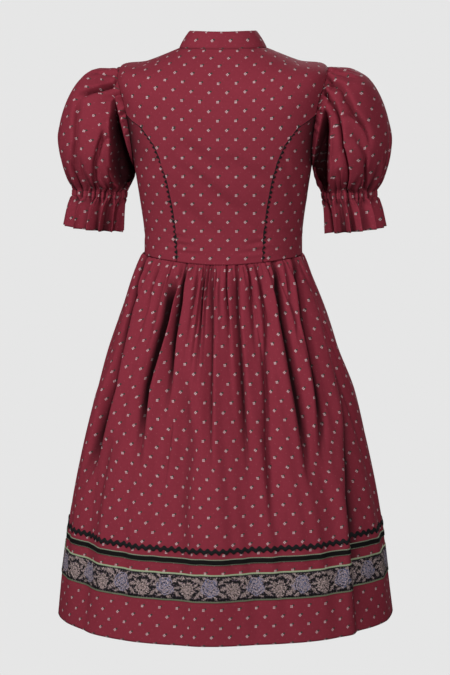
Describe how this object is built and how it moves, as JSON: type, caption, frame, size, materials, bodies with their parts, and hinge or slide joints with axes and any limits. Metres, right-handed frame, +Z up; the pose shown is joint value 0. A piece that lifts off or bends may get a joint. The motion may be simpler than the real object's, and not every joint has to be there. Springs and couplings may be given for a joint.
{
  "type": "dirndl dress",
  "caption": "Knee-length dirndl with fitted princess-seam bodice, stand collar, puff sleeves with ruffle cuffs, gathered skirt and ribbon trims above the hem.",
  "frame": {"origin": "midway between the two side neck points, where the shoulder seams meet the collar seam, at their height", "axes": "+Z up the wearer's body, +Y out of the back of the dress, +X towards the wearer's left"},
  "size_m": [0.6372, 0.4917, 1.0865],
  "materials": {
    "printed_cotton": "matte burgundy cotton with a small woven-look print",
    "rickrack": "black woven braid",
    "narrow_ribbon": "black velvet-like ribbon with thin green edges",
    "floral_ribbon": "black jacquard ribbon with flowers and green edges",
    "button": "small dark red shirt buttons"
  },
  "bodies": {
    "root": {"back_panel": "printed_cotton", "front_panel_left": "printed_cotton", "front_panel_right": "printed_cotton", "side_back_panel_left": "printed_cotton", "side_back_panel_right": "printed_cotton", "side_front_panel_left": "printed_cotton", "side_front_panel_right": "printed_cotton", "back_seam_braid_left": "rickrack", "back_seam_braid_right": "rickrack", "front_seam_braid_left": "rickrack", "front_seam_braid_right": "rickrack", "collar": "printed_cotton", "front_placket": "printed_cotton", "button_1": "button", "button_2": "button", "button_3": "button", "button_4": "button", "button_5": "button", "button_6": "button", "button_7": "button", "button_8": "button", "sleeve_left": "printed_cotton", "sleeve_right": "printed_cotton", "skirt_back": "printed_cotton", "skirt_front": "printed_cotton", "floral_ribbon": "floral_ribbon", "narrow_ribbon": "narrow_ribbon", "rickrack_braid": "rickrack"}
  },
  "joints": []
}
